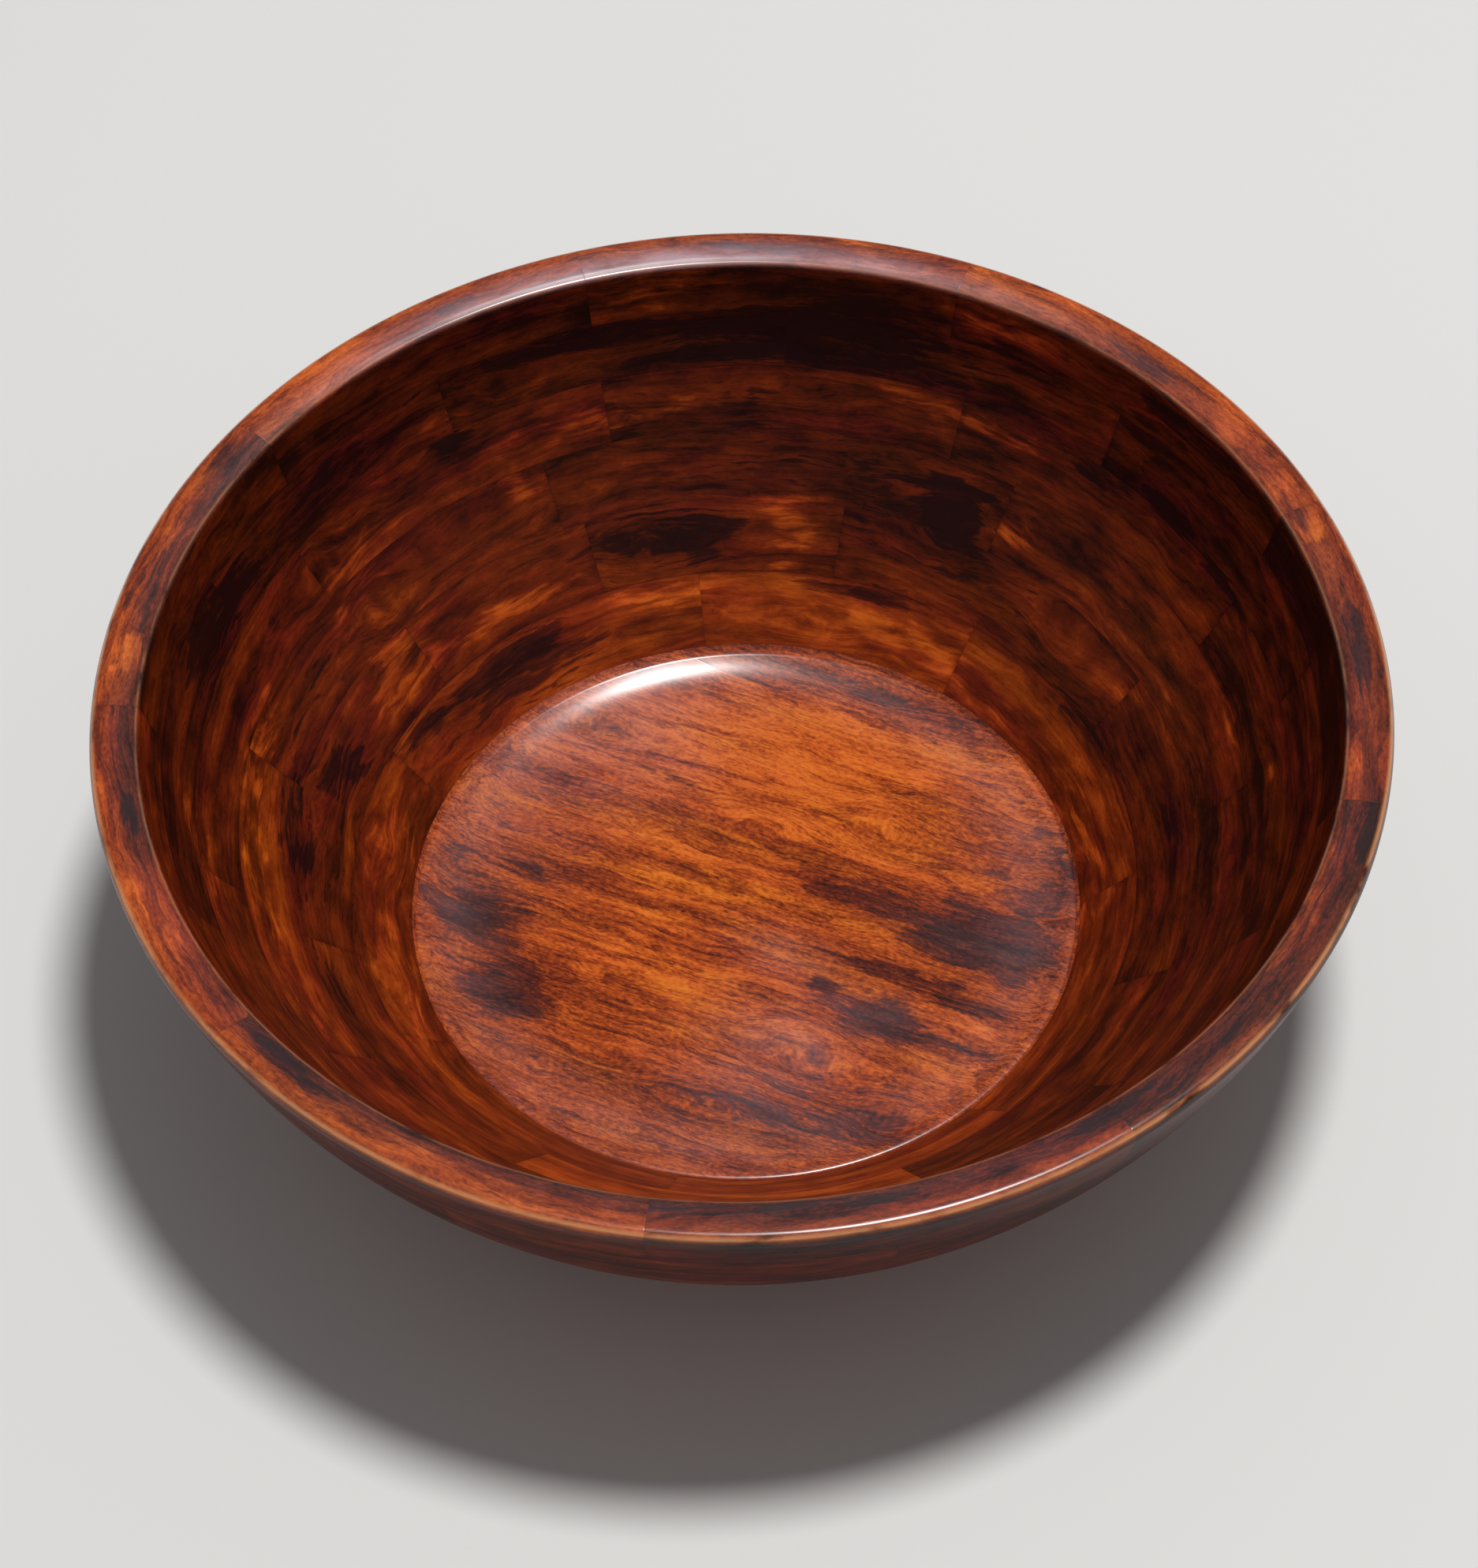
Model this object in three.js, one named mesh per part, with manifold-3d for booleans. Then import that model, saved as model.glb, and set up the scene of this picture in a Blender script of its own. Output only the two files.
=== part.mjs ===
// A stained wooden serving bowl, glued up from boards and turned on a lathe.
// Millimetres, +Z up. The origin is the middle of the foot, on the surface that the bowl stands on.
// Six planks, glued edge to edge with their grain along X, make the base. Above it stand five courses
// of curved blocks and the rim course, each course one board thick and butt-jointed end to end.

import * as THREE from "three";
import { mergeVertices } from "three/addons/utils/BufferGeometryUtils.js";
import Module from "manifold-3d";

const wasm = await Module();
wasm.setup();

// Driving dimensions, in millimetres
const rimRadius = 223; // outer wall at its top, before the edge is rounded
const rimWidth = 17; // top of the wall, from outer to inner edge, before rounding
const boardThickness = 20; // height of the base and of each course above it
const innerLeanAtRim = 14; // inner wall's lean at the rim, in degrees from upright
const innerLeanBelow = 44; // and on its straight lower part
const straightTop = 65; // height at which the curve ends and the straight part begins
const coveRadius = 30; // hollow between floor and wall
const dishDepth = 5.5; // how far the floor is turned down into the base planks
const wallAtFoot = 13.5; // from the floor's corner out to the edge of the foot
const outerBow = 15.5; // how far the outer wall bows out from a straight line
const innerRimRound = 2.2; // rounding of the rim's inner edge
const outerRimRound = 3; // rounding of the rim's outer edge
const heelRound = 4; // rounding between the outer wall and the foot
const footRingWidth = 22; // flat ring that the bowl stands on
const recessDepth = 1.6; // turned hollow inside that ring
const recessSlope = 3; // width of the slope between ring and hollow

// Widths of the base planks across the grain, in the shares that they have of the turned base
const plankWidths = [68.7, 48, 35, 49, 52, 54.7];

// Butt joints of each course, lowest first, in degrees round from +X. Boards come in mixed lengths,
// and each joint lies away from the joints of the course below.
const wallJointDegrees = [
  [21, 75, 120, 180, 234, 282, 333],
  [0, 48, 99, 135, 165, 219, 264, 315],
  [24, 78, 138, 195, 240, 291, 339],
  [0, 45, 87, 129, 171, 216, 264, 315],
  [30, 69, 108, 147, 183, 225, 267, 306, 348],
];
const rimJointDegrees = [9, 45, 90, 129, 168, 204, 243, 285, 327];

// Fineness of the facets
const degreesPerStep = 3;
const slicesPerCourse = 2;
const stepsPerRound = 3;
const stepsPerCove = 6;
const weldDistance = 1e-4;

// Heights and radii that follow from the dimensions above
const courseCount = wallJointDegrees.length + 1;
const courseBottom = (course) => boardThickness * course;
const bowlHeight = courseBottom(courseCount + 1);
const floorHeight = boardThickness - dishDepth;

// Inner wall: an arc from the rim down to straightTop, which leans further the lower it gets
const rimLean = THREE.MathUtils.degToRad(innerLeanAtRim);
const lowerLean = THREE.MathUtils.degToRad(innerLeanBelow);
const bendRadius = (bowlHeight - straightTop) / (Math.sin(lowerLean) - Math.sin(rimLean));
const bend = new THREE.Vector2(
  rimRadius - rimWidth - bendRadius * Math.cos(rimLean),
  bowlHeight + bendRadius * Math.sin(rimLean),
);

// Below it the wall is straight, and would meet the floor in this corner
const coneAt = (height) =>
  bend.x + bendRadius * Math.cos(lowerLean) - (straightTop - height) * Math.tan(lowerLean);
const cornerRadius = coneAt(floorHeight);
const footRadius = cornerRadius + wallAtFoot;

// The cove's arc rounds that corner, and touches both the floor and the straight wall
const cove = new THREE.Vector2(
  cornerRadius - coveRadius * Math.tan((Math.PI / 2 - lowerLean) / 2),
  floorHeight + coveRadius,
);
const coveTop = cove.y - coveRadius * Math.sin(lowerLean);

// Radius of the bowl's inside at a height
function insideAt(height) {
  if (height >= straightTop) return bend.x + Math.sqrt(bendRadius ** 2 - (bend.y - height) ** 2);
  if (height >= coveTop) return coneAt(height);
  return cove.x + Math.sqrt(coveRadius ** 2 - (cove.y - height) ** 2);
}

// Outer wall: the arc from the rim to the edge of the foot, bowed out from the line between them
const outerChord = new THREE.Vector2(rimRadius - footRadius, bowlHeight);
const outerRadius = ((outerChord.length() / 2) ** 2 + outerBow ** 2) / (2 * outerBow);
const outerArc = new THREE.Vector2(-outerChord.y, outerChord.x)
  .setLength(outerRadius - outerBow)
  .add(new THREE.Vector2((rimRadius + footRadius) / 2, bowlHeight / 2));
const outsideAt = (height) => outerArc.x + Math.sqrt(outerRadius ** 2 - (height - outerArc.y) ** 2);

// Points of a rounded corner between two edges, from the edge that comes in to the one that goes out
function roundedCorner(corner, towardsBefore, towardsAfter, radius) {
  const before = towardsBefore.clone().sub(corner).normalize();
  const after = towardsAfter.clone().sub(corner).normalize();
  const halfAngle = Math.acos(before.dot(after)) / 2;
  const middle = before.clone().add(after).normalize();
  const centre = corner.clone().addScaledVector(middle, radius / Math.sin(halfAngle));
  const reach = radius / Math.tan(halfAngle);
  const start = corner.clone().addScaledVector(before, reach).sub(centre);
  const end = corner.clone().addScaledVector(after, reach).sub(centre);
  const turn = Math.atan2(start.cross(end), start.dot(end));
  const points = [];
  for (let i = 0; i <= stepsPerRound; i++) {
    const arm = start.clone().rotateAround(new THREE.Vector2(), (turn * i) / stepsPerRound);
    points.push(arm.add(centre));
  }
  return points;
}

// Heights that slice a course, from its lower glue face to the one above
function slices(bottom, top) {
  const heights = [];
  for (let i = 0; i <= slicesPerCourse; i++) {
    heights.push(bottom + ((top - bottom) * i) / slicesPerCourse);
  }
  return heights;
}

const insidePoint = (height) => new THREE.Vector2(insideAt(height), height);
const outsidePoint = (height) => new THREE.Vector2(outsideAt(height), height);

// Cross-section of a plain course, anticlockwise from its lower inner corner
function courseSection(bottom, top) {
  const heights = slices(bottom, top);
  const outside = heights.map(outsidePoint);
  const inside = heights.map(insidePoint).reverse();
  return [...outside, ...inside];
}

// Cross-section of the rim course: a flat top with both edges rounded
function rimSection(bottom, top) {
  const heights = slices(bottom, top);
  const below = heights[heights.length - 2];
  const outerEdge = outsidePoint(top);
  const innerEdge = insidePoint(top);
  return [
    ...heights.slice(0, -1).map(outsidePoint),
    ...roundedCorner(outerEdge, outsidePoint(below), innerEdge, outerRimRound),
    ...roundedCorner(innerEdge, outerEdge, insidePoint(below), innerRimRound),
    ...heights.slice(0, -1).map(insidePoint).reverse(),
  ];
}

// Outline of the base from the axis below to the axis above: foot, outer wall, glue face, cove, floor
function baseOutline() {
  const recessEdge = footRadius - heelRound - footRingWidth;
  const heelCorner = outsidePoint(0);
  const underside = [
    new THREE.Vector2(0, recessDepth),
    new THREE.Vector2(recessEdge - recessSlope, recessDepth),
    new THREE.Vector2(recessEdge, 0),
  ];
  const heel = roundedCorner(
    heelCorner,
    new THREE.Vector2(0, 0),
    outsidePoint(boardThickness / 2),
    heelRound,
  );
  const outerSide = slices(0, boardThickness).slice(1).map(outsidePoint);
  const dish = boardThickness > coveTop ? [insidePoint(boardThickness)] : [];
  const dishStart = Math.acos((cove.y - Math.min(boardThickness, coveTop)) / coveRadius);
  for (let i = 0; i <= stepsPerCove; i++) {
    const slope = dishStart * (1 - i / stepsPerCove);
    dish.push(
      new THREE.Vector2(
        cove.x + coveRadius * Math.sin(slope),
        cove.y - coveRadius * Math.cos(slope),
      ),
    );
  }
  return [...underside, ...heel, ...outerSide, ...dish, new THREE.Vector2(0, floorHeight)];
}

// A block: its cross-section carried round the axis from one joint to the next, with both ends closed
function blockGeometry(section, fromDegrees, toDegrees) {
  const steps = Math.max(1, Math.round((toDegrees - fromDegrees) / degreesPerStep));
  const count = section.length;
  const positions = [];
  for (let step = 0; step <= steps; step++) {
    const degrees = fromDegrees + ((toDegrees - fromDegrees) * step) / steps;
    const angle = THREE.MathUtils.degToRad(degrees % 360);
    for (const point of section) {
      positions.push(point.x * Math.cos(angle), point.x * Math.sin(angle), point.y);
    }
  }
  const index = [];
  for (let step = 0; step < steps; step++) {
    for (let i = 0; i < count; i++) {
      const here = step * count + i;
      const next = step * count + ((i + 1) % count);
      index.push(here, here + count, next, next, here + count, next + count);
    }
  }
  const last = steps * count;
  for (const [a, b, c] of THREE.ShapeUtils.triangulateShape(section, [])) {
    index.push(a, b, c);
    index.push(last + a, last + c, last + b);
  }
  const geometry = new THREE.BufferGeometry();
  geometry.setAttribute("position", new THREE.Float32BufferAttribute(positions, 3));
  geometry.setIndex(index);
  return geometry;
}

// A closed geometry as a solid for cutting, with shared corners merged and empty faces dropped
function solidFrom(geometry) {
  geometry.deleteAttribute("normal");
  geometry.deleteAttribute("uv");
  const merged = mergeVertices(geometry, weldDistance);
  const corners = [];
  for (let i = 0; i < merged.index.count; i += 3) {
    const [a, b, c] = [0, 1, 2].map((k) => merged.index.getX(i + k));
    if (a !== b && b !== c && c !== a) corners.push(a, b, c);
  }
  return new wasm.Manifold(
    new wasm.Mesh({
      numProp: 3,
      vertProperties: merged.attributes.position.array,
      triVerts: new Uint32Array(corners),
    }),
  );
}

function geometryFrom(solid) {
  const mesh = solid.getMesh();
  const geometry = new THREE.BufferGeometry();
  geometry.setAttribute("position", new THREE.BufferAttribute(mesh.vertProperties, 3));
  geometry.setIndex(new THREE.BufferAttribute(mesh.triVerts, 1));
  return geometry;
}

// Glue lines between the planks, across the grain, with the outer edges well outside the base
function plankEdges() {
  const total = plankWidths.reduce((sum, width) => sum + width);
  const baseRadius = outsideAt(boardThickness);
  const edges = [-2 * rimRadius];
  let across = 0;
  for (const width of plankWidths.slice(0, -1)) {
    across += width;
    edges.push(baseRadius * ((2 * across) / total - 1));
  }
  return [...edges, 2 * rimRadius];
}

// A box that ends exactly at the given glue lines, wider and taller than the base
function plankSlab(fromY, toY) {
  const reach = 2 * rimRadius;
  const box = new THREE.BoxGeometry(1, 1, 1);
  const corner = box.attributes.position;
  for (let i = 0; i < corner.count; i++) {
    corner.setXYZ(
      i,
      corner.getX(i) < 0 ? -reach : reach,
      corner.getY(i) < 0 ? fromY : toY,
      corner.getZ(i) < 0 ? -reach : reach,
    );
  }
  return box;
}

// The whole base, turned in one piece, cut along its glue lines
function plankGeometries() {
  const turnSteps = Math.round(360 / degreesPerStep);
  const turned = new THREE.LatheGeometry(baseOutline(), turnSteps);
  turned.rotateX(Math.PI / 2);
  const disc = solidFrom(turned);
  const edges = plankEdges();
  return edges
    .slice(0, -1)
    .map((edge, i) => geometryFrom(disc.intersect(solidFrom(plankSlab(edge, edges[i + 1])))));
}

// Stain tones of single boards under the same clear lacquer
const stains = [0x8a3b14, 0x6b2810, 0xa1501b, 0x52200f, 0x7a3212];
let boardsUsed = 0;
function stainedWood() {
  const color = stains[boardsUsed % stains.length];
  boardsUsed += 1;
  return new THREE.MeshStandardMaterial({ color, roughness: 0.3, metalness: 0 });
}

function addPiece(group, name, geometry) {
  const mesh = new THREE.Mesh(geometry, stainedWood());
  mesh.name = name;
  group.add(mesh);
}

function baseGroup() {
  const group = new THREE.Group();
  plankGeometries().forEach((geometry, i) => addPiece(group, `base_plank_${i + 1}`, geometry));
  return group;
}

function courseGroup(section, joints, nameOf) {
  const group = new THREE.Group();
  joints.forEach((joint, i) => {
    const next = i + 1 < joints.length ? joints[i + 1] : joints[0] + 360;
    addPiece(group, nameOf(i + 1), blockGeometry(section, joint, next));
  });
  return group;
}

const bowl = new THREE.Group();
bowl.name = "serving_bowl";
bowl.add(baseGroup());
wallJointDegrees.forEach((joints, i) => {
  const section = courseSection(courseBottom(i + 1), courseBottom(i + 2));
  bowl.add(courseGroup(section, joints, (block) => `wall_${i + 1}_block_${block}`));
});
const rimCourse = rimSection(courseBottom(courseCount), bowlHeight);
bowl.add(courseGroup(rimCourse, rimJointDegrees, (block) => `rim_block_${block}`));

export default bowl;
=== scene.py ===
# %% [markdown]
# # A wooden serving bowl, glued up from boards and turned
#
# The real bowl starts as flat boards. Six planks make the base, and curved blocks cut from more boards
# are stacked on it in six courses, like a round brick wall. When the glue has set, the whole stack is
# turned on a lathe to one smooth shape, stained red-brown and lacquered. Each piece of wood therefore
# keeps its own grain, but its surface runs on into its neighbours'.
#
# The solids of every plank and block are already there. This script dresses each one in a fine turned
# surface, with hairline joints, and in wood that was cut from its own board.

# %% Load the finished solids
import math

import bpy
import numpy as np
from mathutils import Matrix, Vector


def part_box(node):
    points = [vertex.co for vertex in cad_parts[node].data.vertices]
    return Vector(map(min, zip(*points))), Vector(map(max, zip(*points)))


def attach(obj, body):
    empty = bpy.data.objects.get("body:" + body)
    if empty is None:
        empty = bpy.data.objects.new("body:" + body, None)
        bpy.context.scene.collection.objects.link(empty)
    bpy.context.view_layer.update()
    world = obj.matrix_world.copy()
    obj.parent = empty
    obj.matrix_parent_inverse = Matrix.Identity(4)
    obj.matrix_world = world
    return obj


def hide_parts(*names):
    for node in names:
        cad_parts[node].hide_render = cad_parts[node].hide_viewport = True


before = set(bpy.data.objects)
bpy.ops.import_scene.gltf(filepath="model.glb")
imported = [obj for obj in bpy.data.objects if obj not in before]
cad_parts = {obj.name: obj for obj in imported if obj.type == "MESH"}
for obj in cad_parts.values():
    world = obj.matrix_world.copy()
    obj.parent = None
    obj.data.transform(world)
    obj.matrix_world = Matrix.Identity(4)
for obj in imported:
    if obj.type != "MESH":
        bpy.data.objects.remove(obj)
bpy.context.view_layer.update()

print(f"{len(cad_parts)} solids loaded")

# %% [markdown]
# ## The profile
#
# A turner thinks of a bowl as one curve inside and one outside. Here the inner curve is an arc that
# leans out more and more from the rim down, and a straight run below it that ends in a fine groove. Inside
# the groove the base is hollowed to a flat floor, whose edge rises softly and rolls over a low lip. The
# outer curve is one long arc, and the rim between them is a band that falls a little inwards. All lengths
# are in millimetres until a mesh is made. The three steps are the distances between a mesh's points: up
# the wall, round the bowl and across a plank.

# %% Sizes of the turned bowl
MM = 0.001
rim_radius = 223.0
rim_width = 17.0
board_thickness = 20.0
lean_at_rim = math.radians(14)
lean_below = math.radians(44)
straight_top = 65.0
dish_depth = 5.5
cove_radius = 40.0
lip_place = 118.3
lip_round = 4.0
lip_tilt = math.radians(25)
wall_at_foot = 13.5
outer_bow = 15.5
inner_rim_round = 3.0
outer_rim_round = 3.5
rim_fall = 1.9
crown_radius = 217.0
heel_round = 4.0
foot_ring_width = 22.0
recess_depth = 1.6
recess_slope = 3.0
height_step = 1.7
round_step = 2.1
row_step = 3.0
rim_edge_room = 4.6

# Butt joints of each course, in degrees round from +X, lowest course first
joint_degrees = {
    "wall_1": [21, 75, 120, 180, 234, 282, 333],
    "wall_2": [0, 48, 99, 135, 165, 219, 264, 315],
    "wall_3": [24, 78, 138, 195, 240, 291, 339],
    "wall_4": [0, 45, 87, 129, 171, 216, 264, 315],
    "wall_5": [30, 69, 108, 147, 183, 225, 267, 306, 348],
    "rim": [9, 45, 90, 129, 168, 204, 243, 285, 327],
}
bowl_height = board_thickness * (len(joint_degrees) + 1)
floor_height = board_thickness - dish_depth

# %% Inner and outer curve
bend_radius = (bowl_height - straight_top) / (math.sin(lean_below) - math.sin(lean_at_rim))
bend_x = rim_radius - rim_width - bend_radius * math.cos(lean_at_rim)
bend_z = bowl_height + bend_radius * math.sin(lean_at_rim)


def cone_at(height):
    """Radius of the straight run: it grows by the tangent of its lean with each millimetre of height."""
    return bend_x + bend_radius * math.cos(lean_below) - (straight_top - height) * math.tan(lean_below)


foot_radius = cone_at(floor_height) + wall_at_foot


def inside(height):
    """Radius of the inner wall: the circle's equation for the bend, and below it the straight run."""
    height = np.asarray(height, float)
    bend = bend_x + np.sqrt(np.maximum(bend_radius**2 - (bend_z - height) ** 2, 0))
    return np.where(height >= straight_top, bend, cone_at(height))


# Where the wall's inner curve leaves the base's top, and where the floor's edge begins to rise
seat_radius = float(inside(board_thickness))
cove_x = lip_place - (cove_radius + lip_round) * math.sin(lip_tilt)
lip_height = floor_height + (cove_radius + lip_round) * (1 - math.cos(lip_tilt))

# Circle of the outer wall
chord = np.array([rim_radius - foot_radius, bowl_height])
outer_radius = ((np.hypot(*chord) / 2) ** 2 + outer_bow**2) / (2 * outer_bow)
to_centre = np.array([-chord[1], chord[0]]) / np.hypot(*chord) * (outer_radius - outer_bow)
outer_x = (rim_radius + foot_radius) / 2 + to_centre[0]
outer_z = bowl_height / 2 + to_centre[1]


def outside(height):
    """Radius of the outer wall: one circle through the rim's edge and the foot's edge."""
    return outer_x + np.sqrt(outer_radius**2 - (np.asarray(height, float) - outer_z) ** 2)


print(f"wall {rim_width:.0f} mm at the rim, floor {2 * cove_x:.0f} mm across, foot {2 * foot_radius:.0f} mm")

# %% [markdown]
# ## Hairline joints
#
# Wood keeps moving a little after it is glued, so a joint that was turned flush can be felt later, even
# through lacquer. Each surface sinks by a fiftieth of a millimetre over the last third of a millimetre
# before a joint, and less between the planks. That is too shallow to see from above, but it breaks up
# the mirror image of a lamp.

# %% Sinking towards a joint
joint_depth = 0.02
plank_joint_depth = 0.006
joint_reach = 0.34
near_joint = joint_reach * np.array([0.0, 0.3, 0.62, 1.0])
no_joint = 9.0  # a distance that stands for no joint at all


def sink(distance, depth=joint_depth):
    """How far the surface lies below the turned shape: the joint's depth, fading as a squared ramp."""
    return depth * np.clip(1 - distance / joint_reach, 0, 1) ** 2


def spaced(length, step):
    """Distances from 0 to length: close together near both ends, where the joints are, and even between."""
    even = np.linspace(joint_reach, length - joint_reach, max(2, round(length / step)) + 1)
    return np.concatenate([near_joint[:-1], even, (length - near_joint[:-1])[::-1]])


# %% Rounded corner of a profile
def rounded_corner(corner, before, after, radius, steps):
    """Arc of the given radius that touches the lines from corner to before and from corner to after."""
    corner, before, after = (np.asarray(p, float) for p in (corner, before, after))
    to_before = (before - corner) / np.hypot(*(before - corner))
    to_after = (after - corner) / np.hypot(*(after - corner))
    half = math.acos(to_before @ to_after) / 2
    middle = (to_before + to_after) / np.hypot(*(to_before + to_after))
    centre = corner + middle * radius / math.sin(half)
    start = corner + to_before * radius / math.tan(half) - centre
    end = corner + to_after * radius / math.tan(half) - centre
    turn = math.atan2(start[0] * end[1] - start[1] * end[0], start @ end) * np.linspace(0, 1, steps + 1)
    x = centre[0] + start[0] * np.cos(turn) - start[1] * np.sin(turn)
    z = centre[1] + start[0] * np.sin(turn) + start[1] * np.cos(turn)
    return np.stack([x, z], 1)


# %% [markdown]
# ## Curved blocks
#
# A block is its course's cross-section, carried round the bowl's axis from one joint to the next. The
# points lie close together near the joints and about 2 mm apart elsewhere, so that lamps reflect in a
# smooth surface. A closed loop of points is kept for each step, and a flat face closes each end.


# %% Cross-sections of the courses
def side_curve(radius_at, bottom, top):
    """Points up one side of a course, as (radius, height) pairs from its lower glue line to its upper."""
    height = bottom + spaced(top - bottom, height_step)
    return np.stack([radius_at(height), height], 1)


def from_ends(points):
    """Distance along a curve from each point to the curve's nearer end."""
    steps = np.hypot(*np.diff(points, axis=0).T)
    along = np.concatenate([[0], np.cumsum(steps)])
    return np.minimum(along, along[-1] - along)


def plain_section(bottom, top):
    """Outer side upwards, then inner side downwards, with each point's distance from a glue line."""
    outer = side_curve(outside, bottom, top)
    inner = side_curve(inside, bottom, top)[::-1]
    return np.concatenate([outer, inner]), np.concatenate([from_ends(outer), from_ends(inner)])


def rim_top(radius):
    """Height of the rim's upper face: level outside the crown, then falling inwards as a square."""
    inwards = np.clip(crown_radius - radius, 0, None) / (crown_radius - float(inside(bowl_height)))
    return bowl_height - rim_fall * inwards**2


def rim_section(bottom, top):
    """One curve up the outer side, over the rim with its two rounded edges, and down inside."""
    height = bottom + spaced(top - bottom, height_step)
    height = height[height < top - rim_edge_room]
    outer = np.stack([outside(height), height], 1)
    inner = np.stack([inside(height), height], 1)[::-1]
    outer_edge = np.array([float(outside(top)), top])
    inner_edge = np.array([float(inside(top - rim_fall)), top - rim_fall])
    beside = inner_edge + [1, float(rim_top(inner_edge[0] + 1)) - inner_edge[1]]
    outer_arc = rounded_corner(outer_edge, outer[-1], [inner_edge[0], top], outer_rim_round, 9)
    inner_arc = rounded_corner(inner_edge, beside, inner[0], inner_rim_round, 9)
    radius = np.linspace(outer_arc[-1, 0], inner_arc[0, 0], 12)[1:-1]
    over = np.stack([radius, rim_top(radius)], 1)
    points = np.concatenate([outer, outer_arc, over, inner_arc, inner])
    return points, from_ends(points)


# %% Mesh of one block
def outward(points):
    """Unit normals of a section's sides: each point's direction of travel, turned right by a quarter."""
    travel = np.gradient(points, axis=0)
    normal = np.stack([travel[:, 1], -travel[:, 0]], 1)
    return normal / np.hypot(*normal.T)[:, None]


def section_normals(points, is_rim):
    """Normals of the whole section; a plain course's two sides are taken one by one."""
    if is_rim:
        return outward(points)
    half = len(points) // 2
    return np.concatenate([outward(points[:half]), outward(points[half:])])


def block_surface(section, normals, from_joint, start, end):
    """Vertices and faces of a block: radius and height come from the section, the angle runs from the
    start joint to the end joint, and both sides sink near the glue lines and near the two ends."""
    mean_radius = section[:, 0].mean()
    travelled = spaced((end - start) * mean_radius, round_step)
    angle = start + travelled / mean_radius
    from_end = np.minimum(travelled, travelled[-1] - travelled)
    depth = np.maximum(sink(from_joint)[None, :], sink(from_end)[:, None])
    radius = section[:, 0] - normals[:, 0] * depth
    height = section[:, 1] - normals[:, 1] * depth
    vertices = np.stack([radius * np.cos(angle)[:, None], radius * np.sin(angle)[:, None], height], 2)
    stations, count = height.shape
    here = (np.arange(stations - 1)[:, None] * count + np.arange(count)).ravel()
    beside = (np.arange(stations - 1)[:, None] * count + (np.arange(count) + 1) % count).ravel()
    sides = np.stack([here, here + count, beside + count, beside], 1).tolist()
    first = list(range(count))
    last = [(stations - 1) * count + i for i in reversed(range(count))]
    return vertices.reshape(-1, 3), [*sides, first, last]


# %% [markdown]
# ## Base planks
#
# The base is turned as one disc, so its top and underside are heights that depend only on the distance
# from the axis. A plank is the strip of that disc between two saw cuts. Its surface is a function of
# the distance across the grain and of the circle that a point lies on: the point is where that circle
# meets the line across. Circles that a line doesn't reach fold together on the plank's middle.

# %% Turned disc as two heights over the radius
recess_edge = foot_radius - heel_round - foot_ring_width
base_radius = float(outside(board_thickness))
hair = 1e-6


def upper_outline():
    """Floor, rising arc, arc over the lip, groove, foot of the wall and glue face, as (radius, height)
    pairs from the axis outwards. The lip's arc stops where it meets the line of the wall."""
    floor = np.linspace(0, cove_x, 40)
    rise = np.linspace(0, lip_tilt, 10)[1:]
    over = np.linspace(lip_tilt, -lip_tilt * 1.5, 22)[1:]
    lip = np.stack([lip_place - lip_round * np.sin(over), lip_height - lip_round * (1 - np.cos(over))], 1)
    lip = lip[lip[:, 0] < cone_at(lip[:, 1])]
    foot = np.linspace(lip[-1, 1], board_thickness, 5)
    seat = np.linspace(seat_radius, base_radius, 12)[1:]
    return np.concatenate([
        np.stack([floor, np.full_like(floor, floor_height)], 1),
        np.stack([cove_x + cove_radius * np.sin(rise), floor_height + cove_radius * (1 - np.cos(rise))], 1),
        lip,
        np.stack([cone_at(foot), foot], 1),
        np.stack([seat, np.full_like(seat, board_thickness)], 1),
    ])


def lower_outline():
    """Recess, foot ring, rounded heel and outer wall, from the axis outwards."""
    recess = np.linspace(0, recess_edge - recess_slope, 36)
    slope = np.linspace(0, 1, 5)[1:]
    ring_start = np.stack([recess_edge - recess_slope * (1 - slope), recess_depth * (1 - slope)], 1)
    side_height = np.linspace(board_thickness / 4, board_thickness, 12)
    side = np.stack([outside(side_height), side_height], 1)
    heel = rounded_corner([float(outside(0)), 0], [0, 0], side[0], heel_round, 8)
    ring = np.linspace([recess_edge, 0], heel[0], 8)[1:-1]
    recess = np.stack([recess, np.full_like(recess, recess_depth)], 1)
    return np.concatenate([recess, ring_start, ring, heel, side])


# %% Mesh of one plank
def strip(outline, lines):
    """A grid over lines across the grain and circles of the outline. On each line, a circle's point lies
    at x = sqrt(radius squared - y squared), on both sides, and its height is the outline's there."""
    y = lines[:, None]
    reached = np.maximum(outline[:, 0][None, :], np.abs(y))
    half_length = np.sqrt(reached**2 - y**2)
    height = np.interp(reached, outline[:, 0], outline[:, 1])
    x = np.concatenate([-half_length[:, ::-1], half_length[:, 1:]], 1)
    height = np.concatenate([height[:, ::-1], height[:, 1:]], 1)
    return np.stack([x, np.broadcast_to(y, x.shape), height], 2)


def plank_lines(low, high, radii):
    """Lines across the grain: close to each saw cut, and wherever a circle folds in between."""
    folds = np.concatenate([radii, -radii])
    folds = folds[(folds > low + 1) & (folds < high - 1)]
    even = np.linspace(low + joint_reach, high - joint_reach, max(3, round((high - low) / row_step)))
    cuts = np.concatenate([low + near_joint, high - near_joint])
    lines = np.unique(np.round(np.concatenate([folds, even, cuts]), 4))
    return lines[np.concatenate([[True], np.diff(lines) > 0.05])]


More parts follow.
